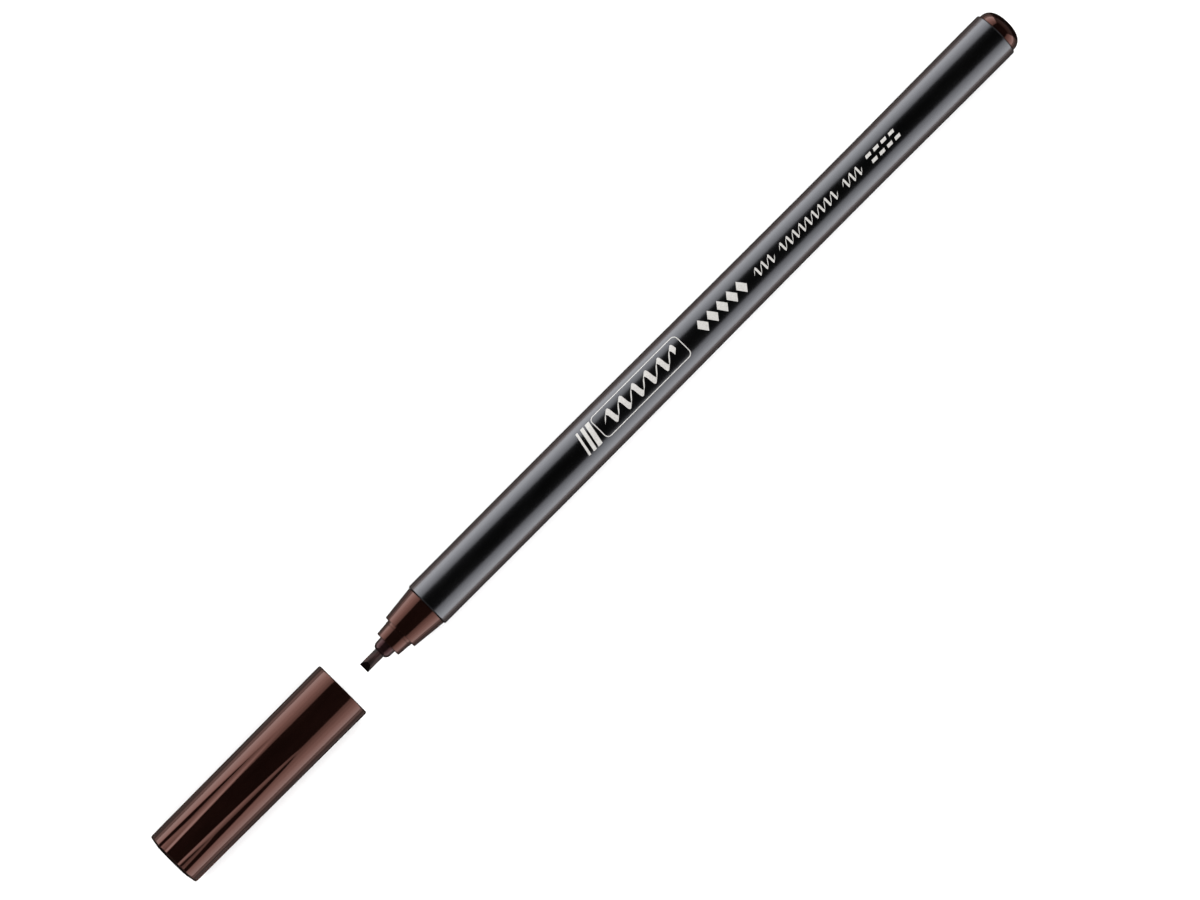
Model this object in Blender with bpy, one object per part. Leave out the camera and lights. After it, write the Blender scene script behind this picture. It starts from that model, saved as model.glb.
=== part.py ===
"""A broad-nib calligraphy marker, lying with its cap drawn off in front of the nib.

The pen lies along X with its nib towards -X. The cap shares the pen's axis, with its
mouth towards the nib, and slides along that axis onto the pen. Z is up, the cap's
mouth touches z = 0, and the whole is centred on x = 0. Stations on the pen are
measured back from the nib's tip, and stations on the cap forward from its mouth.
"""

import math

import bmesh
import bpy

MM = 0.001

# Pen: stations back from the nib's tip, and radii
NIB_EXPOSED = 3.8 * MM
NIB_RADIUS = 0.98 * MM
NIB_BEVEL = 1.4 * MM
NIB_EDGE = 0.12 * MM
NIB_LENGTH = 33.0 * MM
HOLDER_DOME = 2.0 * MM
HOLDER_RADIUS = 1.75 * MM
HOLDER_DOME_RADIUS = 1.68 * MM
HOLDER_FACE_RADIUS = 1.32 * MM
HOLDER_STEM = 8.0 * MM
COLLAR_LENGTH = 3.0 * MM
COLLAR_FRONT_RADIUS = 2.6 * MM
COLLAR_REAR_RADIUS = 2.86 * MM
CONE_LENGTH = 6.4 * MM
CONE_FRONT_RADIUS = 3.5 * MM
CONE_REAR_RADIUS = 4.18 * MM
BARREL_LENGTH = 138.9 * MM
BARREL_FRONT_RADIUS = 4.445 * MM
BARREL_GRIP_RADIUS = 4.495 * MM
BARREL_WAIST_RADIUS = 4.28 * MM
BARREL_REAR_RADIUS = 4.445 * MM
BARREL_GRIP_STATION = 28.0 * MM
BARREL_WAIST_STATION = 101.0 * MM
BARREL_BORE_RADIUS = 3.6 * MM
BARREL_BEVEL = 0.3 * MM
PLUG_DOME = 3.0 * MM
PLUG_RADIUS = 4.08 * MM
PLUG_FULLNESS = 2.45

# Spigots that press into the barrel's two ends
SPIGOT_RADIUS = 3.3 * MM
SPIGOT_HOLLOW_RADIUS = 2.5 * MM
NOSE_SPIGOT_LENGTH = 11.0 * MM
PLUG_SPIGOT_LENGTH = 10.0 * MM

# Ribs along the bore, which centre the reservoir and let air past it
RIB_COUNT = 6
RIB_HEIGHT = 0.25 * MM
RIB_HALF_ANGLE = 4.5
RIB_RUNOUT = 0.6 * MM

# Ink reservoir: a fibre core in a film wrap, open at the front around the nib's tail
RESERVOIR_RADIUS = 2.8 * MM
RESERVOIR_LENGTH = 112.0 * MM
WRAP_RADIUS = 3.15 * MM
WRAP_THICKNESS = 0.15 * MM
NIB_TAIL_DEPTH = 5.0 * MM

# Cap: stations forward from its mouth
CAP_LENGTH = 41.6 * MM
CAP_MOUTH_RADIUS = 5.715 * MM
CAP_END_RADIUS = 5.49 * MM
CAP_BORE_RADIUS = 4.75 * MM
CAP_SEAT_RADIUS = 3.95 * MM
CAP_SEAT_LENGTH = 8.0 * MM
CAP_END_WALL = 1.2 * MM
CAP_CORNER = 0.43 * MM
CAP_END_DOME = 0.3 * MM
CAP_END_FLAT_RADIUS = 3.0 * MM
CAP_LEAD_IN = 0.2 * MM
FLUTE_COUNT = 7
FLUTE_RIDGE_DEG = 35.2
FLUTE_DEPTH = 0.34 * MM
FLUTE_CUTTER_RADIUS = 2.6 * MM
FLUTE_RUNOUT = 12.9 * MM
LINER_RADIUS = 3.65 * MM
LINER_BORE_RADIUS = 3.15 * MM
LINER_LENGTH = 10.2 * MM
LINER_FLOOR = 0.6 * MM

# Fits
SEAM = 0.3 * MM
REST_GAP = 5.0 * MM
FINE_CHAMFER = 0.15 * MM

# Facets
BODY_SEGMENTS = 48
SMALL_SEGMENTS = 28
CAP_SEGMENTS = 56
CAP_FOOT_ANGLE = 13.0
LOWEST = 270

# Stations and places worked out from the sizes above
COLLAR_STATION = NIB_EXPOSED + HOLDER_DOME
CONE_STATION = COLLAR_STATION + COLLAR_LENGTH
BARREL_STATION = CONE_STATION + CONE_LENGTH + SEAM
BARREL_END_STATION = BARREL_STATION + BARREL_LENGTH
NOSE_END_STATION = BARREL_STATION + NOSE_SPIGOT_LENGTH
PLUG_FRONT_STATION = BARREL_END_STATION - PLUG_SPIGOT_LENGTH
PEN_LENGTH = BARREL_END_STATION + PLUG_DOME
RESERVOIR_STATION = NIB_LENGTH - NIB_TAIL_DEPTH
NIB_TIP_X = (CAP_LENGTH + REST_GAP - PEN_LENGTH) / 2
CAP_MOUTH_X = NIB_TIP_X - REST_GAP
AXIS_Z = CAP_MOUTH_RADIUS

BROWN = (0.030, 0.011, 0.008)
MAUVE = (0.105, 0.050, 0.056)
BLACK = (0.006, 0.006, 0.006)
NIB_COLOUR = (0.075, 0.040, 0.036)
INK_COLOUR = (0.050, 0.018, 0.014)
FILM_COLOUR = (0.700, 0.700, 0.680)
LINER_COLOUR = (0.600, 0.590, 0.560)


def material(name, colour, roughness):
    """A plain plastic or fibre."""
    made = bpy.data.materials.new(name)
    made.use_nodes = True
    shader = made.node_tree.nodes["Principled BSDF"]
    shader.inputs["Base Color"].default_value = (*colour, 1.0)
    shader.inputs["Roughness"].default_value = roughness
    shader.inputs["Metallic"].default_value = 0.0
    return made


def even_angles(count):
    """Angles, in degrees, of a ring's points."""
    return [360 * i / count for i in range(count)]


def ring(station, radius, angles):
    """A ring about the X axis. The radius is one number, or one for each angle."""
    radii = radius if isinstance(radius, list) else [radius] * len(angles)
    return [
        (station, r * math.cos(math.radians(a)), r * math.sin(math.radians(a)))
        for r, a in zip(radii, angles)
    ]


def loft(name, rings, skin, loop=False):
    """One closed body through rings and poles. A pole is a ring of one point.

    With loop, the last ring joins the first, which makes a tube. Without it, the
    first and last are poles.
    """
    mesh = bpy.data.meshes.new(name)
    bm = bmesh.new()
    rows = [[bm.verts.new(point) for point in points] for points in rings]
    pairs = list(zip(rows, rows[1:])) + ([(rows[-1], rows[0])] if loop else [])
    for near, far in pairs:
        count = max(len(near), len(far))
        for i in range(count):
            j = (i + 1) % count
            if len(near) == 1:
                bm.faces.new((near[0], far[i], far[j]))
            elif len(far) == 1:
                bm.faces.new((near[j], near[i], far[0]))
            else:
                bm.faces.new((near[j], near[i], far[i], far[j]))
    bmesh.ops.recalc_face_normals(bm, faces=bm.faces)
    bm.to_mesh(mesh)
    bm.free()
    mesh.materials.append(skin)
    mesh.shade_smooth()
    mesh.set_sharp_from_angle(angle=math.radians(30))
    made = bpy.data.objects.new(name, mesh)
    bpy.context.collection.objects.link(made)
    return made


def turned(name, profile, skin, segments=BODY_SEGMENTS, loop=False):
    """A lathe-turned body. The profile holds (station, radius) points."""
    angles = even_angles(segments)
    rings = [
        ring(station, radius, angles) if radius > 0 else [(station, 0.0, 0.0)]
        for station, radius in profile
    ]
    return loft(name, rings, skin, loop)


def rounding(size, turn):
    """Along and inset distances on a quarter round, from its face (0) to its side (90)."""
    angle = math.radians(turn)
    return size * (1 - math.cos(angle)), size * (1 - math.sin(angle))


def barrel_radius(station):
    """The barrel's outer radius: full where it is held, slightly waisted behind."""
    knots = [
        (0.0, BARREL_FRONT_RADIUS),
        (BARREL_GRIP_STATION, BARREL_GRIP_RADIUS),
        (BARREL_WAIST_STATION, BARREL_WAIST_RADIUS),
        (BARREL_LENGTH, BARREL_REAR_RADIUS),
    ]
    for (start, first), (end, last) in zip(knots, knots[1:]):
        if station <= end:
            share = (station - start) / (end - start)
            ease = (1 - math.cos(math.pi * share)) / 2
            return first + (last - first) * ease
    return BARREL_REAR_RADIUS


def make_barrel(skin):
    """The tube, with ribs along its bore between the two spigots."""
    pitch = 360 / RIB_COUNT
    edge = RIB_HALF_ANGLE + 0.5
    plain = [edge + (pitch - 2 * edge) * i / 3 for i in range(4)]
    steps = plain + [pitch - RIB_HALF_ANGLE, pitch + RIB_HALF_ANGLE]
    angles = [pitch * k + step for k in range(RIB_COUNT) for step in steps]
    crest = BARREL_BORE_RADIUS - RIB_HEIGHT
    ribbed = ([BARREL_BORE_RADIUS] * 4 + [crest] * 2) * RIB_COUNT
    end = BARREL_STATION + BARREL_LENGTH
    rings = [ring(BARREL_STATION, BARREL_FRONT_RADIUS - BARREL_BEVEL, angles)]
    stretches = 12
    for i in range(stretches + 1):
        along = BARREL_BEVEL + (BARREL_LENGTH - 2 * BARREL_BEVEL) * i / stretches
        rings.append(ring(BARREL_STATION + along, barrel_radius(along), angles))
    rings.append(ring(end, BARREL_REAR_RADIUS - BARREL_BEVEL, angles))
    rib_front = NOSE_END_STATION + RIB_RUNOUT
    rib_rear = PLUG_FRONT_STATION - RIB_RUNOUT
    rings.append(ring(end, BARREL_BORE_RADIUS, angles))
    rings.append(ring(rib_rear, BARREL_BORE_RADIUS, angles))
    rings.append(ring(rib_rear - RIB_RUNOUT, ribbed, angles))
    rings.append(ring(rib_front + RIB_RUNOUT, ribbed, angles))
    rings.append(ring(rib_front, BARREL_BORE_RADIUS, angles))
    rings.append(ring(BARREL_STATION, BARREL_BORE_RADIUS, angles))
    return loft("barrel", rings, skin, loop=True)


def make_nose_section(skin):
    """Collar, cone and the hollow spigot behind them, bored for the nib and its holder."""
    nib_bore = NIB_RADIUS + SEAM
    holder_bore = HOLDER_RADIUS + SEAM
    holder_seat = COLLAR_STATION + HOLDER_STEM + SEAM
    shoulder = CONE_STATION + CONE_LENGTH
    profile = [
        (COLLAR_STATION, COLLAR_FRONT_RADIUS - FINE_CHAMFER),
        (COLLAR_STATION + FINE_CHAMFER, COLLAR_FRONT_RADIUS),
        (CONE_STATION, COLLAR_REAR_RADIUS),
        (CONE_STATION, CONE_FRONT_RADIUS - FINE_CHAMFER),
        (CONE_STATION + FINE_CHAMFER, CONE_FRONT_RADIUS),
        (shoulder, CONE_REAR_RADIUS),
        (shoulder, SPIGOT_RADIUS),
        (NOSE_END_STATION - SEAM, SPIGOT_RADIUS),
        (NOSE_END_STATION, SPIGOT_RADIUS - SEAM),
        (NOSE_END_STATION, SPIGOT_HOLLOW_RADIUS),
        (shoulder + FINE_CHAMFER, SPIGOT_HOLLOW_RADIUS),
        (shoulder + FINE_CHAMFER, nib_bore),
        (holder_seat, nib_bore),
        (holder_seat, holder_bore),
        (COLLAR_STATION, holder_bore),
    ]
    return turned("nose_section", profile, skin, loop=True)


def make_nib_holder(skin):
    """The small domed bush that grips the nib at the tip of the collar."""
    dome = HOLDER_DOME_RADIUS - HOLDER_FACE_RADIUS
    turns = [rounding(dome, turn) for turn in (0, 30, 60, 90)]
    front = [(NIB_EXPOSED + along, HOLDER_DOME_RADIUS - inset) for along, inset in turns]
    rear = COLLAR_STATION + HOLDER_STEM
    profile = front + [
        (COLLAR_STATION, HOLDER_RADIUS),
        (rear, HOLDER_RADIUS),
        (rear, NIB_RADIUS + SEAM),
        (NIB_EXPOSED, NIB_RADIUS + SEAM),
    ]
    return turned("nib_holder", profile, skin, SMALL_SEGMENTS, loop=True)


def make_nib(skin):
    """A round fibre rod with a chisel tip: two slopes that meet in a blunt level edge."""
    angles = even_angles(SMALL_SEGMENTS)
    stretches = 5
    rings = [[(0.0, 0.0, 0.0)]]
    for i in range(stretches + 1):
        station = NIB_BEVEL * i / stretches
        half = NIB_EDGE + (NIB_RADIUS - NIB_EDGE) * i / stretches
        section = ring(station, NIB_RADIUS, angles)
        rings.append([(x, y, max(-half, min(half, z))) for x, y, z in section])
    rings += [
        ring(NIB_LENGTH - SEAM, NIB_RADIUS, angles),
        ring(NIB_LENGTH, NIB_RADIUS - SEAM, angles),
        [(NIB_LENGTH, 0.0, 0.0)],
    ]
    return loft("nib", rings, skin)


def make_ink_reservoir(skin):
    """The fibre core, with the pocket that the nib's tail has pressed into its front."""
    end = RESERVOIR_STATION + RESERVOIR_LENGTH
    pocket = NIB_RADIUS + SEAM
    profile = [
        (NIB_LENGTH + SEAM, 0.0),
        (NIB_LENGTH + SEAM, pocket),
        (RESERVOIR_STATION, pocket),
        (RESERVOIR_STATION, RESERVOIR_RADIUS),
        (end, RESERVOIR_RADIUS),
        (end, 0.0),
    ]
    return turned("ink_reservoir", profile, skin, SMALL_SEGMENTS)


def make_reservoir_wrap(skin):
    """The film tube round the core, open at both ends."""
    end = RESERVOIR_STATION + RESERVOIR_LENGTH
    inner = WRAP_RADIUS - WRAP_THICKNESS
    profile = [
        (RESERVOIR_STATION, WRAP_RADIUS),
        (end, WRAP_RADIUS),
        (end, inner),
        (RESERVOIR_STATION, inner),
    ]
    return turned("reservoir_wrap", profile, skin, SMALL_SEGMENTS, loop=True)


def make_end_plug(skin):
    """The domed plug that closes the barrel's rear, on a hollow spigot."""
    base = BARREL_END_STATION + SEAM
    dome = PLUG_DOME - SEAM
    floor = base + FINE_CHAMFER
    profile = [
        (floor, 0.0),
        (floor, SPIGOT_HOLLOW_RADIUS),
        (PLUG_FRONT_STATION, SPIGOT_HOLLOW_RADIUS),
        (PLUG_FRONT_STATION, SPIGOT_RADIUS - SEAM),
        (PLUG_FRONT_STATION + SEAM, SPIGOT_RADIUS),
        (base, SPIGOT_RADIUS),
    ]
    steps = 10
    for i in range(steps):
        share = math.sin(math.pi / 2 * i / steps)
        radius = PLUG_RADIUS * (1 - share**PLUG_FULLNESS) ** (1 / PLUG_FULLNESS)
        profile.append((base + dome * share, radius))
    profile.append((base + dome, 0.0))
    return turned("end_plug", profile, skin)


def cap_radius(station, angle):
    """The cap's outer radius: a straight taper with flutes that run out before the mouth."""
    share = station / CAP_LENGTH
    outer = CAP_MOUTH_RADIUS + (CAP_END_RADIUS - CAP_MOUTH_RADIUS) * share
    depth = FLUTE_DEPTH * (station - FLUTE_RUNOUT) / (CAP_LENGTH - FLUTE_RUNOUT)
    if depth <= 0:
        return outer
    pitch = 360 / FLUTE_COUNT
    off = math.radians((angle - FLUTE_RIDGE_DEG) % pitch - pitch / 2)
    reach = outer + FLUTE_CUTTER_RADIUS - depth
    side = FLUTE_CUTTER_RADIUS**2 - (reach * math.sin(off)) ** 2
    if side <= 0:
        return outer
    return min(outer, reach * math.cos(off) - math.sqrt(side))


def make_cap_shell(skin):
    """The cap: a tapered cup, fluted towards its closed end, with a seat for the liner.

    The lowest facet, which the cap lies on, is wider than the rest.
    """
    pitch = (360 - CAP_FOOT_ANGLE) / (CAP_SEGMENTS - 1)
    angles = [LOWEST + CAP_FOOT_ANGLE / 2 + pitch * i for i in range(CAP_SEGMENTS)]

    def outer(station, at, inset=0.0):
        return ring(-station, [cap_radius(at, a) - inset for a in angles], angles)

    def inner(station, radius):
        return ring(-station, radius, angles)

    floor = CAP_LENGTH - CAP_END_WALL
    seat = floor - CAP_SEAT_LENGTH
    rings = [
        [(-floor, 0.0, 0.0)],
        inner(floor, CAP_SEAT_RADIUS),
        inner(seat, CAP_SEAT_RADIUS),
        inner(seat, CAP_BORE_RADIUS),
        inner(CAP_LEAD_IN, CAP_BORE_RADIUS),
        inner(0.0, CAP_BORE_RADIUS + CAP_LEAD_IN),
    ]
    for turn in (0, 45, 90):
        along, inset = rounding(CAP_CORNER, turn)
        rings.append(outer(along, 0.0, inset))
    side_end = CAP_LENGTH - CAP_END_DOME - CAP_CORNER
    stretches = 6
    for i in range(stretches + 1):
        along = FLUTE_RUNOUT + (side_end - FLUTE_RUNOUT) * i / stretches
        rings.append(outer(along, along))
    for turn in (60, 30, 0):
        along, inset = rounding(CAP_CORNER, turn)
        rings.append(outer(side_end + CAP_CORNER - along, side_end, inset))
    rings.append(inner(CAP_LENGTH, CAP_END_FLAT_RADIUS))
    rings.append([(-CAP_LENGTH, 0.0, 0.0)])
    return loft("cap_shell", rings, skin)


def make_seal_liner(skin):
    """The soft cup inside the cap that closes round the collar and keeps the nib wet."""
    back = -(CAP_LENGTH - CAP_END_WALL - SEAM)
    mouth = back + LINER_LENGTH
    profile = [
        (back, 0.0),
        (back, LINER_RADIUS - FINE_CHAMFER),
        (back + FINE_CHAMFER, LINER_RADIUS),
        (mouth, LINER_RADIUS),
        (mouth, LINER_BORE_RADIUS),
        (back + LINER_FLOOR, LINER_BORE_RADIUS),
        (back + LINER_FLOOR, 0.0),
    ]
    return turned("seal_liner", profile, skin, SMALL_SEGMENTS)


def carrier(name, x, pieces):
    """An empty on the pen's axis that places and carries its pieces."""
    made = bpy.data.objects.new(name, None)
    made.location = (x, 0.0, AXIS_Z)
    bpy.context.collection.objects.link(made)
    for piece in pieces:
        piece.parent = made


def main():
    for old in list(bpy.data.objects):
        bpy.data.objects.remove(old, do_unlink=True)
    gloss_brown = material("gloss_brown", BROWN, 0.12)
    pen = [
        make_barrel(material("satin_black", BLACK, 0.38)),
        make_nose_section(gloss_brown),
        make_nib_holder(material("mauve_plastic", MAUVE, 0.4)),
        make_nib(material("nib_fibre", NIB_COLOUR, 0.6)),
        make_ink_reservoir(material("inked_fibre", INK_COLOUR, 0.9)),
        make_reservoir_wrap(material("clear_film", FILM_COLOUR, 0.3)),
        make_end_plug(gloss_brown),
    ]
    cap = [
        make_cap_shell(gloss_brown),
        make_seal_liner(material("liner_plastic", LINER_COLOUR, 0.5)),
    ]
    carrier("pen_axis", NIB_TIP_X, pen)
    carrier("cap_axis", CAP_MOUTH_X, cap)


main()
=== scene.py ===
"""The looks of a calligraphy marker that lies uncapped, its cap drawn off in front of it."""

import math

import bmesh
import bpy
from mathutils import Matrix, Vector, noise


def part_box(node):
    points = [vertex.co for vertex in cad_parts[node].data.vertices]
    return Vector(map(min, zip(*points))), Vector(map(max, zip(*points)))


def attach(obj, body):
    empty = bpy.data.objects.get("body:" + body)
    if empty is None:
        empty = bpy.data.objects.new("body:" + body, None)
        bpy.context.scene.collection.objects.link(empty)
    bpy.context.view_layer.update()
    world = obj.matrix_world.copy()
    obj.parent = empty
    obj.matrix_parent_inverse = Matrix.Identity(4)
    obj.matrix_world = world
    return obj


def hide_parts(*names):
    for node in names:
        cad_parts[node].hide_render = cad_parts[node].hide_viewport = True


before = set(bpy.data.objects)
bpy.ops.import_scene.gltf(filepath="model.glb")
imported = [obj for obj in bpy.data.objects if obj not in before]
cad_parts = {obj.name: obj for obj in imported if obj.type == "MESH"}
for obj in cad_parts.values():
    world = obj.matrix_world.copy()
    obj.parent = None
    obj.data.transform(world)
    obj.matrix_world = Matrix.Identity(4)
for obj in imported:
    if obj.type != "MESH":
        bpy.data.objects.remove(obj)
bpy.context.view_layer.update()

MM = 0.001

# Places read from the CAD nodes
NIB_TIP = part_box("nib")[0].x
BARREL_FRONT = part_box("barrel")[0].x
BARREL_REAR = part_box("barrel")[1].x
PLUG_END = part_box("end_plug")[1].x
PLUG_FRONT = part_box("end_plug")[0].x
HOLDER_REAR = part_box("nib_holder")[1].x
CAP_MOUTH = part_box("cap_shell")[1].x
CAP_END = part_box("cap_shell")[0].x
LINER_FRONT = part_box("seal_liner")[0].x
LINER_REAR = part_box("seal_liner")[1].x
AXIS_Z = (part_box("end_plug")[0].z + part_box("end_plug")[1].z) / 2

# Barrel
BARREL_KNOTS = [(0.0, 4.445), (28.0, 4.495), (101.0, 4.28), (138.9, 4.445)]
BARREL_BORE = 3.6 * MM
BARREL_BEVEL = 0.2 * MM
BARREL_END_GAP = 0.25 * MM  # how far the tube reaches towards the cone and the plug
# Nose
COLLAR_FRONT = NIB_TIP + 5.8 * MM
CONE_FRONT = NIB_TIP + 8.8 * MM
COLLAR_RADII = (2.6 * MM, 2.78 * MM, 2.86 * MM)
CONE_RADII = (3.5 * MM, 4.18 * MM)
SPIGOT = 3.3 * MM
SPIGOT_HOLLOW = 2.5 * MM
# Nib and its holder
NIB_RADIUS = 0.98 * MM
NIB_BEVEL = 1.4 * MM
NIB_EDGE = 0.12 * MM
NIB_EXPOSED = 3.8 * MM
NIB_LENGTH = 33.0 * MM
NIB_WET_LENGTH = 0.95 * MM
NIB_WAVER = 0.012  # how much the strands roughen the rod, as a share of its radius
HOLDER_RADIUS = 1.75 * MM
# Plug
PLUG_RADIUS = 4.08 * MM
PLUG_FULLNESS = 2.45
# Cap
CAP_LENGTH = CAP_MOUTH - CAP_END
CAP_RADII = (5.715 * MM, 5.49 * MM)
CAP_BORE = 4.75 * MM
CAP_SEAT = 3.95 * MM
CAP_SEAT_LENGTH = 8.0 * MM
CAP_END_WALL = 1.2 * MM
CAP_CORNER = 0.43 * MM
CAP_END_DOME = 0.3 * MM
FLUTES = 7
FLUTE_RIDGE = math.radians(35.2)
FLUTE_DEPTH = 0.34 * MM
FLUTE_CUTTER = 2.6 * MM
FLUTE_RUNOUT = 12.9 * MM
LINER_RADII = (3.65 * MM, 3.15 * MM)
LINER_FLOOR = 0.6 * MM

# Print
PRINT_FILM = 0.008 * MM
PRINT_SLANT = math.radians(40)
# All pieces
ROUND = 192
SEAM = 0.03 * MM
SHARP_ANGLE = math.radians(40)
CORNER_STEPS = 6


# ---------------------------------------------------------------- mesh helpers


def ring(x, radii, angles):
    """A ring of points about the pen's axis."""
    return [
        (x, r * math.cos(a), AXIS_Z + r * math.sin(a)) for r, a in zip(radii, angles)
    ]


def loft(name, rings, skins, loop=False):
    """One closed skin through rings of points. A ring of one point is a pole."""
    mesh = bpy.data.meshes.new(name)
    bm = bmesh.new()
    rows = [[bm.verts.new(point) for point in points] for points in rings]
    pairs = list(zip(rows, rows[1:])) + ([(rows[-1], rows[0])] if loop else [])
    for near, far in pairs:
        count = max(len(near), len(far))
        for i in range(count):
            j = (i + 1) % count
            if len(near) == 1:
                bm.faces.new((near[0], far[i], far[j]))
            elif len(far) == 1:
                bm.faces.new((near[j], near[i], far[0]))
            else:
                bm.faces.new((near[j], near[i], far[i], far[j]))
    bmesh.ops.recalc_face_normals(bm, faces=bm.faces)
    bm.to_mesh(mesh)
    bm.free()
    return finished(name, mesh, skins)


def finished(name, mesh, skins):
    """An object of a mesh, smooth but for its true edges."""
    for skin in skins:
        mesh.materials.append(skin)
    mesh.shade_smooth()
    mesh.set_sharp_from_angle(angle=SHARP_ANGLE)
    made = bpy.data.objects.new(name, mesh)
    bpy.context.scene.collection.objects.link(made)
    weighted = made.modifiers.new("weighted_normals", "WEIGHTED_NORMAL")
    weighted.keep_sharp = True
    return made


def softened(outline, loop):
    """An outline of (x, radius, rounding) points, with each corner rounded."""
    points = []
    last = len(outline) - 1
    for i, (x, r, size) in enumerate(outline):
        here = Vector((x, r))
        if size == 0 or (not loop and i in (0, last)):
            points.append((x, r))
            continue
        before = Vector(outline[i - 1][:2]) - here
        after = Vector(outline[(i + 1) % len(outline)][:2]) - here
        start = here + before.normalized() * min(size, before.length * 0.45)
        end = here + after.normalized() * min(size, after.length * 0.45)
        for k in range(CORNER_STEPS + 1):
            t = k / CORNER_STEPS
            points.append(start * (1 - t) ** 2 + here * 2 * t * (1 - t) + end * t**2)
    return [(p[0], p[1]) for p in points]


def lathe(name, outline, skins, segments=ROUND, loop=False):
    """A turned piece whose outline's corners are rounded."""
    angles = [math.tau * i / segments for i in range(segments)]
    rings = []
    for x, r in softened(outline, loop):
        rings.append(ring(x, [r] * segments, angles) if r > 0 else [(x, 0.0, AXIS_Z)])
    return loft(name, rings, skins, loop)


def barrel_radius(x):
    """The barrel's outer radius, eased between its knots."""
    along = (x - BARREL_FRONT) / MM
    for (start, first), (end, last) in zip(BARREL_KNOTS, BARREL_KNOTS[1:]):
        if along <= end:
            share = max(0.0, along - start) / (end - start)
            ease = (1 - math.cos(math.pi * share)) / 2
            return (first + (last - first) * ease) * MM
    return BARREL_KNOTS[-1][1] * MM


# ------------------------------------------------------------------ materials


def shader_of(name):
    """A new material, its node tree and its Principled BSDF."""
    made = bpy.data.materials.new(name)
    made.use_nodes = True
    return made, made.node_tree, made.node_tree.nodes["Principled BSDF"]


def set_constants(shader, **values):
    """Sets the shader's own sockets, named with _ for each space."""
    for key, value in values.items():
        shader.inputs[key.replace("_", " ")].default_value = value


def noise_field(tree, scale, stretch=(1, 1, 1), detail=3.0, rough=0.55):
    """A noise in the object's own space. Stretch below 1 draws it out along that axis."""
    nodes, links = tree.nodes, tree.links
    place = nodes.new("ShaderNodeTexCoord")
    mapping = nodes.new("ShaderNodeMapping")
    mapping.inputs["Scale"].default_value = stretch
    field = nodes.new("ShaderNodeTexNoise")
    field.inputs["Scale"].default_value = scale
    field.inputs["Detail"].default_value = detail
    field.inputs["Roughness"].default_value = rough
    links.new(place.outputs["Object"], mapping.inputs["Vector"])
    links.new(mapping.outputs["Vector"], field.inputs["Vector"])
    return field.outputs["Fac"]


def ramp(tree, source, low, high, start=0.3, end=0.7):
    """Maps a field to the range from low to high."""
    made = tree.nodes.new("ShaderNodeMapRange")
    made.inputs["From Min"].default_value = start
    made.inputs["From Max"].default_value = end
    made.inputs["To Min"].default_value = low
    made.inputs["To Max"].default_value = high
    tree.links.new(source, made.inputs["Value"])
    return made.outputs["Result"]


def blend_colours(tree, source, first, second, start=0.35, end=0.65):
    """A colour between two, by a field."""
    made = tree.nodes.new("ShaderNodeValToRGB")
    made.color_ramp.elements[0].position = start
    made.color_ramp.elements[0].color = (*first, 1)
    made.color_ramp.elements[1].position = end
    made.color_ramp.elements[1].color = (*second, 1)
    tree.links.new(source, made.inputs["Fac"])
    return made.outputs["Color"]


def bumps(tree, shader, layers):
    """Bumps from (field, height) layers, one over another."""
    normal = None
    for field, height in layers:
        bump = tree.nodes.new("ShaderNodeBump")
        bump.inputs["Strength"].default_value = 1.0
        bump.inputs["Distance"].default_value = height
        tree.links.new(field, bump.inputs["Height"])
        if normal:
            tree.links.new(normal, bump.inputs["Normal"])
        normal = bump.outputs["Normal"]
    tree.links.new(normal, shader.inputs["Normal"])


def satin_black():
    """Drawn tube: satin black, with faint lines along it and a fine grain."""
    made, tree, shader = shader_of("satin_black")
    set_constants(shader, IOR=1.5, Specular_IOR_Level=0.74, Metallic=0.0)
    shader.inputs["Specular Tint"].default_value = (0.90, 0.92, 1.0, 1.0)
    grain = noise_field(tree, 9000, detail=4)
    lines = noise_field(tree, 5200, (0.012, 1, 1), 2)
    patches = noise_field(tree, 260, (0.4, 1, 1), 3)
    base = blend_colours(tree, patches, (0.0005,) * 3, (0.0009,) * 3)
    tree.links.new(base, shader.inputs["Base Color"])
    tree.links.new(ramp(tree, patches, 0.195, 0.235), shader.inputs["Roughness"])
    bumps(tree, shader, [(lines, 0.0000012), (grain, 0.0000016)])
    return made


def gloss_brown():
    """Polished moulded plastic: a brown so deep that its gloss carries the colour."""
    made, tree, shader = shader_of("gloss_brown")
    set_constants(shader, IOR=1.5, Specular_IOR_Level=0.5, Metallic=0.0)
    shader.inputs["Specular Tint"].default_value = (1.0, 0.45, 0.36, 1.0)
    flow = noise_field(tree, 420, (0.25, 1, 1), 3)
    hairs = noise_field(tree, 7000, (0.02, 1, 1), 2)
    dust = noise_field(tree, 3000, detail=5)
    base = blend_colours(tree, flow, (0.0032, 0.0012, 0.0009), (0.0046, 0.0017, 0.0013))
    tree.links.new(base, shader.inputs["Base Color"])
    tree.links.new(ramp(tree, dust, 0.075, 0.13), shader.inputs["Roughness"])
    bumps(tree, shader, [(flow, 0.000006), (hairs, 0.0000003)])
    return made


def mauve_plastic():
    """Soft satin plastic of the nib's holder."""
    made, tree, shader = shader_of("mauve_plastic")
    set_constants(shader, IOR=1.5, Specular_IOR_Level=0.3, Metallic=0.0)
    shader.inputs["Specular Tint"].default_value = (0.85, 0.4, 0.43, 1.0)
    mottle = noise_field(tree, 2600, detail=4)
    base = blend_colours(tree, mottle, (0.0035, 0.0016, 0.0017), (0.0065, 0.003, 0.0033))
    tree.links.new(base, shader.inputs["Base Color"])
    tree.links.new(ramp(tree, mottle, 0.15, 0.21), shader.inputs["Roughness"])
    bumps(tree, shader, [(mottle, 0.000004)])
    return made


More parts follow.
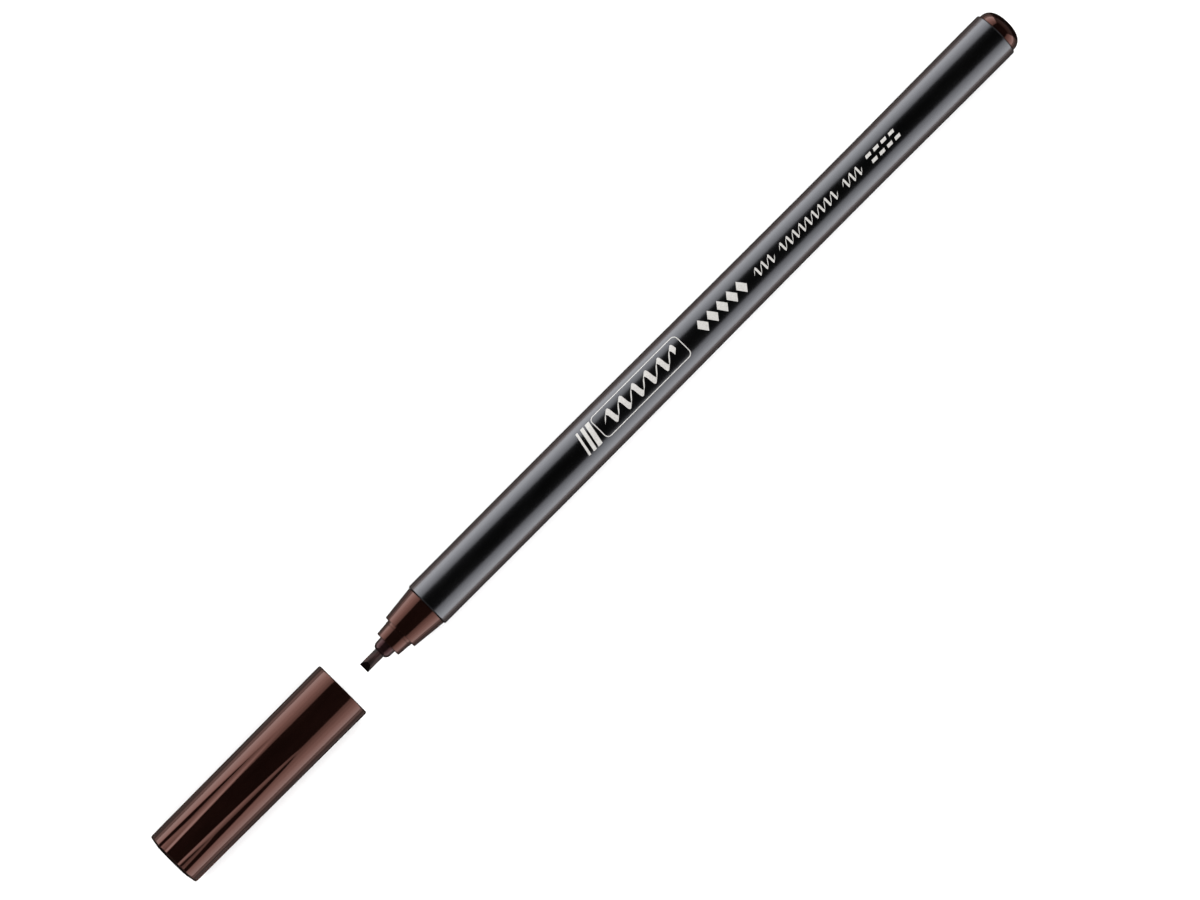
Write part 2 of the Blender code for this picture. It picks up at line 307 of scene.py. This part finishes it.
def nib_fibre():
    """Bonded fibres drawn along the nib, stained by the ink that passes between them."""
    made, tree, shader = shader_of("nib_fibre")
    set_constants(shader, IOR=1.45, Specular_IOR_Level=0.15, Metallic=0.0)
    fibres = noise_field(tree, 9000, (0.05, 1, 1), 4)
    stains = noise_field(tree, 1700, (0.35, 1, 1), 3)
    deep, pale = (0.004, 0.0016, 0.0013), (0.034, 0.016, 0.0145)
    dark = blend_colours(tree, fibres, deep, pale, 0.4, 0.62)
    soaked = tree.nodes.new("ShaderNodeMix")
    soaked.data_type = "RGBA"
    soaked.inputs["B"].default_value = (0.003, 0.0012, 0.001, 1)
    tree.links.new(dark, soaked.inputs["A"])
    tree.links.new(ramp(tree, stains, 0.0, 0.8, 0.42, 0.62), soaked.inputs["Factor"])
    tree.links.new(soaked.outputs["Result"], shader.inputs["Base Color"])
    tree.links.new(ramp(tree, fibres, 0.35, 0.6), shader.inputs["Roughness"])
    bumps(tree, shader, [(fibres, 0.00003)])
    return made


def nib_wet():
    """The nib's cut face: ends of fibres, black and wet with ink."""
    made, tree, shader = shader_of("nib_wet")
    set_constants(shader, IOR=1.4, Specular_IOR_Level=0.3, Metallic=0.0)
    ends = noise_field(tree, 12000, detail=3)
    base = blend_colours(tree, ends, (0.0006, 0.0004, 0.0004), (0.003, 0.0015, 0.0012))
    tree.links.new(base, shader.inputs["Base Color"])
    tree.links.new(ramp(tree, ends, 0.16, 0.34), shader.inputs["Roughness"])
    bumps(tree, shader, [(ends, 0.000012)])
    return made


def silver_print():
    """Pad-printed silver-grey ink: nearly matt, a little uneven where it lies thin."""
    made, tree, shader = shader_of("silver_print")
    set_constants(shader, IOR=1.5, Specular_IOR_Level=0.4, Metallic=0.0)
    cover = noise_field(tree, 5200, detail=5)
    base = blend_colours(tree, cover, (0.32, 0.31, 0.295), (0.42, 0.41, 0.395))
    tree.links.new(base, shader.inputs["Base Color"])
    tree.links.new(ramp(tree, cover, 0.42, 0.58), shader.inputs["Roughness"])
    bumps(tree, shader, [(cover, 0.0000012)])
    return made


def liner_plastic():
    """Natural soft plastic, waxy and a little see-through."""
    made, tree, shader = shader_of("liner_plastic")
    set_constants(shader, IOR=1.5, Specular_IOR_Level=0.4, Metallic=0.0)
    haze = noise_field(tree, 900, (0.3, 1, 1), 3)
    base = blend_colours(tree, haze, (0.50, 0.48, 0.44), (0.60, 0.585, 0.55))
    tree.links.new(base, shader.inputs["Base Color"])
    tree.links.new(ramp(tree, haze, 0.42, 0.55), shader.inputs["Roughness"])
    bumps(tree, shader, [(haze, 0.000006)])
    return made


def inked_fibre():
    """The reservoir's fibre bundle, soaked in ink."""
    made, tree, shader = shader_of("inked_fibre")
    set_constants(shader, Specular_IOR_Level=0.2, Metallic=0.0)
    fibres = noise_field(tree, 6000, (0.03, 1, 1), 4)
    base = blend_colours(tree, fibres, (0.02, 0.008, 0.006), (0.10, 0.045, 0.035))
    tree.links.new(base, shader.inputs["Base Color"])
    tree.links.new(ramp(tree, fibres, 0.75, 0.95), shader.inputs["Roughness"])
    bumps(tree, shader, [(fibres, 0.00003)])
    return made


def clear_film():
    """The thin film that wraps the reservoir."""
    made, tree, shader = shader_of("clear_film")
    set_constants(shader, IOR=1.5, Specular_IOR_Level=0.5, Metallic=0.0)
    creases = noise_field(tree, 700, (0.2, 1, 1), 4)
    base = blend_colours(tree, creases, (0.62, 0.61, 0.59), (0.72, 0.71, 0.70))
    tree.links.new(base, shader.inputs["Base Color"])
    tree.links.new(ramp(tree, creases, 0.15, 0.3), shader.inputs["Roughness"])
    bumps(tree, shader, [(creases, 0.00002)])
    return made


# ----------------------------------------------------------------- the pieces


def make_barrel(skin):
    """The tube, bevelled at both ends, as fine as its waist needs."""
    start, end = BARREL_FRONT - BARREL_END_GAP, BARREL_REAR + BARREL_END_GAP
    front = barrel_radius(BARREL_FRONT) - BARREL_BEVEL
    outline = [(start, BARREL_BORE, 0.0), (start, front, 0.06 * MM)]
    stretches = 60
    for i in range(stretches + 1):
        x = start + BARREL_BEVEL + (end - start - 2 * BARREL_BEVEL) * i / stretches
        outline.append((x, barrel_radius(x), 0.08 * MM if i in (0, stretches) else 0.0))
    outline.append((end, barrel_radius(BARREL_REAR) - BARREL_BEVEL, 0.06 * MM))
    outline.append((end, BARREL_BORE, 0.0))
    made = lathe("barrel_tube", outline, [skin], loop=True)
    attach(made, "pen")
    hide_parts("barrel")


def make_nose(skin):
    """Collar, ring and cone, with the spigot that holds them in the barrel."""
    fine = 0.08 * MM
    shoulder = BARREL_FRONT - 0.3 * MM
    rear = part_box("nose_section")[1].x
    bead = COLLAR_FRONT + 2.45 * MM
    outline = [
        (COLLAR_FRONT, HOLDER_RADIUS + SEAM, fine),
        (COLLAR_FRONT, COLLAR_RADII[0] - 0.02 * MM, 0.2 * MM),
        (bead, COLLAR_RADII[1], 0.05 * MM),
        (bead + 0.08 * MM, COLLAR_RADII[1] + 0.08 * MM, 0.05 * MM),
        (bead + 0.16 * MM, COLLAR_RADII[1] + 0.03 * MM, 0.05 * MM),
        (CONE_FRONT, COLLAR_RADII[2], 0.0),
        (CONE_FRONT, CONE_RADII[0], 0.16 * MM),
        (shoulder, CONE_RADII[1], fine),
        (shoulder, SPIGOT, 0.0),
        (rear, SPIGOT, fine),
        (rear, SPIGOT_HOLLOW, fine),
        (shoulder, SPIGOT_HOLLOW, 0.0),
        (shoulder, NIB_RADIUS + SEAM, 0.0),
        (HOLDER_REAR + 0.3 * MM, NIB_RADIUS + SEAM, 0.0),
        (HOLDER_REAR + 0.3 * MM, HOLDER_RADIUS + SEAM, 0.0),
    ]
    made = lathe("nose_cone", outline, [skin], loop=True)
    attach(made, "pen")
    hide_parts("nose_section")


def make_holder(skin):
    """The domed bush that grips the nib."""
    front = NIB_TIP + NIB_EXPOSED
    outline = [
        (front, NIB_RADIUS + SEAM, 0.0),
        (front, 1.12 * MM, 0.1 * MM),
        (front + 0.18 * MM, 1.38 * MM, 0.16 * MM),
        (front + 0.62 * MM, 1.66 * MM, 0.3 * MM),
        (COLLAR_FRONT, HOLDER_RADIUS - 0.01 * MM, 0.0),
        (HOLDER_REAR, HOLDER_RADIUS - 0.01 * MM, 0.0),
        (HOLDER_REAR, NIB_RADIUS + SEAM, 0.0),
    ]
    made = lathe("nib_bush", outline, [skin], 128, loop=True)
    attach(made, "pen")
    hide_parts("nib_holder")


def make_nib(fibre, wet):
    """A fibre rod with two slopes that meet in a level edge, wet with ink at its tip."""
    segments = 144
    angles = [math.tau * i / segments for i in range(segments)]
    soft = 0.06 * MM

    def section(along, half, inset):
        """A slice of the rod, its top and bottom pared off level."""
        points = []
        for a in angles:
            strand = Vector((along * 700, math.cos(a) * 9, math.sin(a) * 9))
            r = NIB_RADIUS * (1 + NIB_WAVER * noise.noise(strand)) - inset
            z = max(-half, min(half, r * math.sin(a)))
            points.append((NIB_TIP + along, r * math.cos(a), AXIS_Z + z))
        return points

    rings = [[(NIB_TIP, 0.0, AXIS_Z)]]
    for k in range(5):
        turn = math.radians(22.5 * k)
        inset = soft * (1 - math.sin(turn))
        rings.append(section(soft * (1 - math.cos(turn)), NIB_EDGE + soft - inset, inset))
    stretches = 60
    for i in range(1, stretches + 1):
        along = soft + (NIB_EXPOSED + 0.3 * MM - soft) * i / stretches
        slope = (NIB_RADIUS - NIB_EDGE) * (along - soft) / (NIB_BEVEL - soft)
        rings.append(section(along, NIB_EDGE + soft + slope, 0.0))
    tail = NIB_TIP + NIB_LENGTH
    rings.append(ring(tail - 0.3 * MM, [NIB_RADIUS] * segments, angles))
    rings.append(ring(tail, [NIB_RADIUS - 0.3 * MM] * segments, angles))
    rings.append([(tail, 0.0, AXIS_Z)])
    made = loft("nib_rod", rings, [fibre, wet])
    for face in made.data.polygons:
        along = face.center.x - NIB_TIP
        off = math.hypot(face.center.y, face.center.z - AXIS_Z)
        pared = along < NIB_BEVEL and off < 0.96 * NIB_RADIUS
        if along < NIB_WET_LENGTH or pared:
            face.material_index = 1
    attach(made, "pen")
    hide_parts("nib")


def make_plug(skin):
    """The domed end plug on its hollow spigot."""
    base = BARREL_REAR + 0.27 * MM
    dome = PLUG_END - base
    outline = [
        (base + 0.15 * MM, 0.0, 0.0),
        (base + 0.15 * MM, SPIGOT_HOLLOW, 0.0),
        (PLUG_FRONT, SPIGOT_HOLLOW, 0.06 * MM),
        (PLUG_FRONT, SPIGOT, 0.2 * MM),
        (base, SPIGOT, 0.0),
    ]
    steps = 40
    for i in range(steps + 1):
        share = math.sin(math.pi / 2 * i / steps)
        r = PLUG_RADIUS * max(0.0, 1 - share**PLUG_FULLNESS) ** (1 / PLUG_FULLNESS)
        outline.append((base + dome * share, r if i < steps else 0.0, 0.0))
    made = lathe("plug_dome", outline, [skin])
    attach(made, "pen")
    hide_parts("end_plug")


def cap_outline(along, angle):
    """The cap's outer radius at a distance from its mouth, with its flutes cut in."""
    outer = CAP_RADII[0] + (CAP_RADII[1] - CAP_RADII[0]) * along / CAP_LENGTH
    depth = FLUTE_DEPTH * (along - FLUTE_RUNOUT) / (CAP_LENGTH - FLUTE_RUNOUT)
    if depth <= 0:
        return outer
    pitch = math.tau / FLUTES
    off = (angle - FLUTE_RIDGE) % pitch - pitch / 2
    reach = outer + FLUTE_CUTTER - depth
    side = FLUTE_CUTTER**2 - (reach * math.sin(off)) ** 2
    if side <= 0:
        return outer
    cut = reach * math.cos(off) - math.sqrt(side)
    edge = 0.006 * MM
    gap = max(-40.0, min(40.0, (cut - outer) / edge))
    return outer - edge * math.log1p(math.exp(-gap))


def make_cap(skin):
    """The cap: a fluted cup with a rounded mouth and a faintly domed closed end."""
    segments = FLUTES * 48
    angles = [math.tau * (i + 0.5) / segments for i in range(segments)]
    floor = CAP_LENGTH - CAP_END_WALL
    seat = floor - CAP_SEAT_LENGTH

    def plain(along, radius):
        return ring(CAP_MOUTH - along, [radius] * segments, angles)

    def outer(along, at, inset):
        radii = [cap_outline(at, a) - inset for a in angles]
        return ring(CAP_MOUTH - along, radii, angles)

    rings = [[(CAP_MOUTH - floor, 0.0, AXIS_Z)]]
    rings += [plain(floor, CAP_SEAT), plain(seat + 0.05 * MM, CAP_SEAT)]
    rings += [plain(seat, CAP_SEAT + 0.05 * MM), plain(seat, CAP_BORE)]
    rings += [plain(0.5 * MM, CAP_BORE), plain(0.22 * MM, CAP_BORE + 0.03 * MM)]
    rings += [plain(0.06 * MM, CAP_BORE + 0.14 * MM), plain(0.0, CAP_BORE + 0.26 * MM)]
    rim = 0.34 * MM
    for k in range(9):
        turn = math.pi / 2 * k / 8
        along = rim * (1 - math.cos(turn))
        rings.append(outer(along, 0.0, rim * (1 - math.sin(turn))))
    groove = [(0.50, 0.0), (0.55, 0.012), (0.60, 0.02), (0.65, 0.012), (0.70, 0.0)]
    rings += [outer(a * MM, a * MM, d * MM) for a, d in groove]
    side = CAP_LENGTH - CAP_END_DOME - CAP_CORNER
    stretches = 84
    for i in range(stretches + 1):
        along = 0.8 * MM + (side - 0.8 * MM) * i / stretches
        rings.append(outer(along, along, 0.0))
    for k in range(1, 9):
        turn = math.pi / 2 * k / 8
        inset = CAP_CORNER * (1 - math.cos(turn))
        rings.append(outer(side + CAP_CORNER * math.sin(turn), side, inset))
    shrink = [0.96, 0.9, 0.8, 0.68]
    for share in shrink:
        rise = CAP_END_DOME * (1 - (share - shrink[-1]) / (1 - shrink[-1]))
        radii = [(cap_outline(side, a) - CAP_CORNER) * share for a in angles]
        rings.append(ring(CAP_MOUTH - side - CAP_CORNER - rise, radii, angles))
    rings += [plain(CAP_LENGTH, 3.0 * MM), plain(CAP_LENGTH, 0.7 * MM)]
    rings += [plain(CAP_LENGTH - 0.06 * MM, 0.62 * MM), [(CAP_END + 0.08 * MM, 0.0, AXIS_Z)]]
    made = loft("cap_body", rings, [skin])
    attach(made, "cap")
    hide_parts("cap_shell")


def make_liner(skin):
    """The soft cup in the cap, with a rolled lip."""
    outer, bore = LINER_RADII
    outline = [
        (LINER_FRONT, 0.0, 0.0),
        (LINER_FRONT, outer, 0.15 * MM),
        (LINER_REAR, outer, 0.2 * MM),
        (LINER_REAR, bore, 0.2 * MM),
        (LINER_FRONT + LINER_FLOOR, bore, 0.3 * MM),
        (LINER_FRONT + LINER_FLOOR, 0.0, 0.0),
    ]
    made = lathe("liner_cup", outline, [skin], 128)
    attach(made, "cap")
    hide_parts("seal_liner")


# ------------------------------------------------------------------ the print


def printed(name, columns, skin, closed=False):
    """A thin film of ink on the barrel, through columns of (x, arc) points across it."""
    mesh = bpy.data.meshes.new(name)
    bm = bmesh.new()
    loops = []
    for column in columns:
        loop = []
        below = [(point, -PRINT_FILM) for point in column]
        above = [(point, PRINT_FILM) for point in reversed(column)]
        for (x, arc), lift in below + above:
            turn = arc / barrel_radius(x)
            r = barrel_radius(x) + lift
            place = (x, r * math.sin(turn), AXIS_Z + r * math.cos(turn))
            loop.append(bm.verts.new(place))
        loops.append(loop)
    pairs = list(zip(loops, loops[1:])) + ([(loops[-1], loops[0])] if closed else [])
    for here, there in pairs:
        for i in range(len(here)):
            j = (i + 1) % len(here)
            bm.faces.new((here[i], here[j], there[j], there[i]))
    if not closed:
        bm.faces.new(loops[0])
        bm.faces.new(loops[-1])
    bmesh.ops.recalc_face_normals(bm, faces=bm.faces)
    bm.to_mesh(mesh)
    bm.free()
    made = finished(name, mesh, [skin])
    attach(made, "pen")


def pen_stroke(name, path, nib, tilt, skin, steps=120):
    """A broad-nib stroke: a path swept by an edge that keeps one angle."""
    edge = Vector((math.cos(tilt), math.sin(tilt))) * nib
    columns = []
    for i in range(steps + 1):
        centre = Vector(path(i / steps))
        columns.append([tuple(centre + edge * (k / 6 - 0.5)) for k in range(7)])
    printed(name, columns, skin)


def outline_frame(name, low, high, corner, width, skin):
    """A thin line round a rounded rectangle."""
    centres = [
        (high[0] - corner, high[1] - corner),
        (low[0] + corner, high[1] - corner),
        (low[0] + corner, low[1] + corner),
        (high[0] - corner, low[1] + corner),
    ]
    walk = []
    for i, centre in enumerate(centres):
        for k in range(9):
            turn = math.radians(90 * i + 90 * k / 8)
            walk.append((Vector(centre), Vector((math.cos(turn), math.sin(turn)))))
    columns = []
    for (here, out), (there, _) in zip(walk, walk[1:] + walk[:1]):
        parts = max(1, round((there - here).length / (0.5 * MM)))
        for k in range(parts):
            centre = here.lerp(there, k / parts)
            reaches = [corner + width * side for side in (-0.5, 0.0, 0.5)]
            columns.append([tuple(centre + out * reach) for reach in reaches])
    printed(name, columns, skin, closed=True)


def wave(first, length, turns, height, centre):
    """The path of a leaning wave along the barrel."""

    def path(t):
        swing = height * math.sin(math.tau * turns * t)
        return (first + length * t + 0.35 * swing, centre + swing)

    return path


def straight(x, arc, run, rise):
    """The path of a straight stroke through a point."""
    return lambda t: (x + run * (t - 0.5), arc + rise * (t - 0.5))


def make_print(skin):
    """Silver ornaments in place of the maker's print. None of them is a letter or a mark."""
    for i in range(3):
        x = NIB_TIP + (56.2 - 1.25 * i) * MM
        path = straight(x, 0.5 * MM, 0.9 * MM, 4.5 * MM)
        pen_stroke(f"print_bar_{i + 1}", path, (0.95 - 0.25 * i) * MM, 0.0, skin, 20)
    low, high = (NIB_TIP + 57.4 * MM, -1.9 * MM), (NIB_TIP + 78.0 * MM, 2.9 * MM)
    outline_frame("print_frame", low, high, 0.9 * MM, 0.17 * MM, skin)
    path = wave(NIB_TIP + 59.2 * MM, 17.0 * MM, 5.5, 1.15 * MM, 0.5 * MM)
    pen_stroke("print_wave", path, 1.15 * MM, PRINT_SLANT, skin, 260)
    for i in range(5):
        x = NIB_TIP + (82.7 + 2.35 * i) * MM
        path = straight(x, 0.3 * MM, 1.15 * MM, -1.6 * MM)
        pen_stroke(f"print_lozenge_{i + 1}", path, 1.5 * MM, math.radians(52), skin, 8)
    ripples = [(95.2, 4.7, 3), (101.3, 14.0, 9), (116.8, 4.4, 3)]
    for i, (x, length, turns) in enumerate(ripples):
        path = wave(NIB_TIP + x * MM, length * MM, turns, 0.75 * MM, 0.15 * MM)
        pen_stroke(f"print_ripple_{i + 1}", path, 0.5 * MM, PRINT_SLANT, skin, 30 * turns)
    tilt = math.radians(70)
    for row, arc in enumerate((0.85, -0.45)):
        for i in range(4):
            x = NIB_TIP + (123.6 + 1.85 * i + 0.3 * row) * MM
            path = straight(x, arc * MM, 1.2 * MM, 0.0)
            pen_stroke(f"print_dash_{row + 1}_{i + 1}", path, 0.62 * MM, tilt, skin, 8)


# ------------------------------------------------------------ stage and light

WHITE = (1.0, 1.0, 1.0)
WARM = (1.0, 0.80, 0.74)
# Slices of each side panel: top and foot in degrees from straight up, radiance, colour
PANEL_SLICES = [
    (42, 52, 2.2, WHITE),
    (52, 64, 3.1, WHITE),
    (64, 78, 4.1, WHITE),
    (78, 102, 4.9, WHITE),
    (102, 118, 1.4, WARM),
    (118, 150, 0.32, WARM),
]
PANEL_REACH = 0.6
PANEL_LENGTH = 1.5
PANEL_SHARES = ((1, 1.0), (-1, 0.86))  # the sign of a side's Y and its brightness
END_PLACE = (0.75, 0.15)  # distance from the middle, and height
END_SIZE = (1.2, 0.56)
END_RADIANCE = 0.4
OVERHEAD_HEIGHT = 1.6
OVERHEAD_SIZE = 2.0
OVERHEAD_RADIANCE = 2.8
AMBIENT = 0.008
BACKDROP = 0.95  # what the camera sees past the floor
FLOOR_ALBEDO = 0.95
FLOOR_HALF = 3.0
CAMERA_ROLL = math.radians(45.1)
CAMERA_LEAN = math.radians(3)
CAMERA_DISTANCE = 1.3
CAMERA_AIM = (1.5 * MM, 1.7 * MM)  # how far right of the row's middle, and how far below
FRAME_WIDTH = 206.5 * MM


def make_floor():
    """A plain pale floor."""
    made, _, shader = shader_of("floor")
    set_constants(shader, Roughness=1.0, Specular_IOR_Level=0.0)
    shader.inputs["Base Color"].default_value = (*[FLOOR_ALBEDO] * 3, 1.0)
    mesh = bpy.data.meshes.new("floor")
    signs = ((-1, -1), (1, -1), (1, 1), (-1, 1))
    corners = [(FLOOR_HALF * x, FLOOR_HALF * y, 0) for x, y in signs]
    mesh.from_pydata(corners, [], [(0, 1, 2, 3)])
    mesh.materials.append(made)
    floor = bpy.data.objects.new("floor", mesh)
    floor.visible_glossy = False
    floor.visible_shadow = False
    bpy.context.scene.collection.objects.link(floor)


def soft_light(name, place, turn, size, radiance, colour=WHITE):
    """A rectangular soft light that the camera doesn't see."""
    data = bpy.data.lights.new(name, "AREA")
    data.shape = "RECTANGLE"
    data.size, data.size_y = size
    data.energy = radiance * math.pi * size[0] * size[1]
    data.color = colour
    lamp = bpy.data.objects.new(name, data)
    lamp.location = place
    lamp.rotation_euler = turn
    lamp.visible_camera = False
    bpy.context.scene.collection.objects.link(lamp)
    return lamp


def make_lights():
    """A tall panel on each side, brightest near the pen's height, fainter ones at the
    ends, and a light overhead."""
    for side, share in PANEL_SHARES:
        upright = (math.radians(90), 0, math.radians(180 if side > 0 else 0))
        for part, (top, foot, radiance, colour) in enumerate(PANEL_SLICES):
            high = PANEL_REACH / math.tan(math.radians(top))
            low = PANEL_REACH / math.tan(math.radians(foot))
            place = (0, side * PANEL_REACH, (low + high) / 2)
            size = (PANEL_LENGTH, high - low)
            soft_light(f"panel_{part}_{side}", place, upright, size, radiance * share, colour)
    distance, height = END_PLACE
    for end in (1, -1):
        facing = (math.radians(90), 0, math.radians(90 * end))
        place = (end * distance, 0, height)
        soft_light(f"end_{end}", place, facing, END_SIZE, END_RADIANCE)
    size = (OVERHEAD_SIZE, OVERHEAD_SIZE)
    overhead = soft_light(
        "overhead", (0, 0, OVERHEAD_HEIGHT), (0, 0, 0), size, OVERHEAD_RADIANCE
    )
    overhead.visible_glossy = False


def make_world():
    """A dim surrounding, with a pale backdrop for the camera's own rays."""
    world = bpy.data.worlds.new("studio")
    world.use_nodes = True
    tree = world.node_tree
    ground = tree.nodes["Background"]
    ground.inputs["Color"].default_value = (*[AMBIENT] * 3, 1)
    shown = tree.nodes.new("ShaderNodeBackground")
    shown.inputs["Color"].default_value = (*[BACKDROP] * 3, 1)
    path = tree.nodes.new("ShaderNodeLightPath")
    mix = tree.nodes.new("ShaderNodeMixShader")
    tree.links.new(path.outputs["Is Camera Ray"], mix.inputs["Fac"])
    tree.links.new(ground.outputs["Background"], mix.inputs[1])
    tree.links.new(shown.outputs["Background"], mix.inputs[2])
    tree.links.new(mix.outputs["Shader"], tree.nodes["World Output"].inputs["Surface"])
    bpy.context.scene.world = world


def make_camera():
    """Looks nearly straight down, with the pen rising to the upper right."""
    along = Vector((math.cos(CAMERA_LEAN), 0, math.sin(CAMERA_LEAN)))
    across = Vector((0, 1, 0))
    back = Vector((-math.sin(CAMERA_LEAN), 0, math.cos(CAMERA_LEAN)))
    right = along * math.cos(CAMERA_ROLL) - across * math.sin(CAMERA_ROLL)
    up = along * math.sin(CAMERA_ROLL) + across * math.cos(CAMERA_ROLL)
    aside, below = CAMERA_AIM
    target = Vector((0, 0, AXIS_Z)) + right * aside - up * below
    data = bpy.data.cameras.new("camera")
    data.sensor_width = 36.0
    data.lens = data.sensor_width * CAMERA_DISTANCE / FRAME_WIDTH
    data.clip_start = 0.01
    camera = bpy.data.objects.new("camera", data)
    place = Matrix((right, up, back)).transposed().to_4x4()
    place.translation = target + back * CAMERA_DISTANCE
    camera.matrix_world = place
    bpy.context.scene.collection.objects.link(camera)
    bpy.context.scene.camera = camera


def main():
    """The stage, the pieces, and the looks of the two nodes kept from CAD."""
    make_camera()
    make_lights()
    make_world()
    make_floor()
    brown = gloss_brown()
    make_barrel(satin_black())
    make_nose(brown)
    make_holder(mauve_plastic())
    make_nib(nib_fibre(), nib_wet())
    make_plug(brown)
    make_cap(brown)
    make_liner(liner_plastic())
    make_print(silver_print())
    inside = {"ink_reservoir": inked_fibre(), "reservoir_wrap": clear_film()}
    for node, skin in inside.items():
        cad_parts[node].data.materials.clear()
        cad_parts[node].data.materials.append(skin)
    bpy.context.scene.view_settings.view_transform = "Standard"


main()
